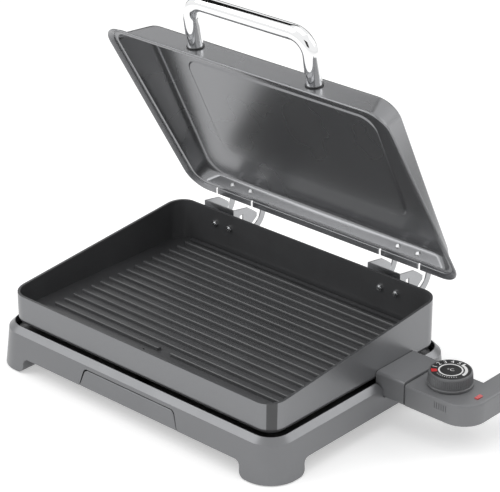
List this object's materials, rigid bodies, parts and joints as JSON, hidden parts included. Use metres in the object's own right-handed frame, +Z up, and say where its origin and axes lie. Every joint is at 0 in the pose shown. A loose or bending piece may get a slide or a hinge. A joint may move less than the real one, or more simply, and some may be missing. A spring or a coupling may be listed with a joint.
{
  "type": "electric indoor grill",
  "caption": "Countertop electric grill with a ribbed pan, hinged lid, tubular handle, slide-out drip tray and plug-in thermostat with a dial.",
  "frame": {"origin": "the middle of the whole outline, seen from above, on the surface that the grill stands on", "axes": "+X along the long side towards the plug-in thermostat, +Y to the back where the hinges are, +Z up"},
  "size_m": [0.5416, 0.359, 0.4264],
  "materials": {
    "base_plastic": "satin warm grey moulding",
    "dark_plastic": "fine matte black",
    "housing_plastic": "satin grey moulding",
    "pan_paint": "satin grey coating outside, dark non-stick inside",
    "lid_paint": "satin grey coating",
    "sheet_steel": "plain plated sheet",
    "fastener_steel": "plated",
    "chrome_plate": "mirror polished",
    "element_metal": "dull, heat darkened",
    "reflector_sheet": "mill finish",
    "tray_coat": "dark non-stick",
    "ceramic": "unglazed ceramic",
    "contact_brass": "plain",
    "pad_rubber": "matte",
    "lens_red": "clear red",
    "dial_face": "printed with a plain white scale"
  },
  "bodies": {
    "base": {"base_shell": "base_plastic", "bottom_cover": "dark_plastic", "rubber_feet": "pad_rubber", "heat_reflector": "reflector_sheet", "base_screws": "fastener_steel"},
    "tray": {"drip_tray": "tray_coat", "tray_front": "base_plastic"},
    "pan": {"grill_pan": "pan_paint", "heating_element": "element_metal", "element_clips": "sheet_steel", "terminal_insulator": "ceramic", "terminal_pins": "fastener_steel", "hinge_bracket_left": "sheet_steel", "hinge_bracket_right": "sheet_steel", "hinge_screws": "fastener_steel", "hinge_nuts": "fastener_steel", "hinge_pin_left": "fastener_steel", "hinge_pin_right": "fastener_steel"},
    "lid": {"lid_shell": "lid_paint", "lid_hinge_left": "sheet_steel", "lid_hinge_right": "sheet_steel", "lid_rivets": "fastener_steel", "handle_tube": "chrome_plate", "handle_inserts": "fastener_steel", "handle_collars": "dark_plastic", "handle_screws": "fastener_steel"},
    "probe": {"connector_block": "housing_plastic", "contact_sleeves": "contact_brass", "sensing_rod": "fastener_steel", "housing_lower": "housing_plastic", "housing_upper": "housing_plastic", "housing_screws": "fastener_steel", "cord_gland": "dark_plastic", "thermostat": "ceramic", "indicator_lens": "lens_red"},
    "dial": {"dial_knob": "dark_plastic", "dial_plate": "dial_face", "dial_spindle": "fastener_steel"}
  },
  "joints": [
    {"name": "tray_slide", "type": "slide", "parent": "base", "child": "tray", "axis": [0, -1, 0], "range_m": [0, 0.15]},
    {"name": "pan_lift", "type": "slide", "parent": "base", "child": "pan", "axis": [0, 0, 1], "range_m": [0, 0.08]},
    {"name": "lid_hinge", "type": "hinge", "parent": "pan", "child": "lid", "pos_m": [-0.05518, 0.13357, 0.09352], "axis": [-1, 0, 0], "range_deg": [-64.3, 25]},
    {"name": "probe_pull", "type": "slide", "parent": "pan", "child": "probe", "axis": [1, 0, 0], "range_m": [0, 0.06]},
    {"name": "dial_turn", "type": "hinge", "parent": "probe", "child": "dial", "pos_m": [0.21882, 0.04067, 0.0629], "axis": [0, 0, 1], "range_deg": [-60, 210]}
  ]
}
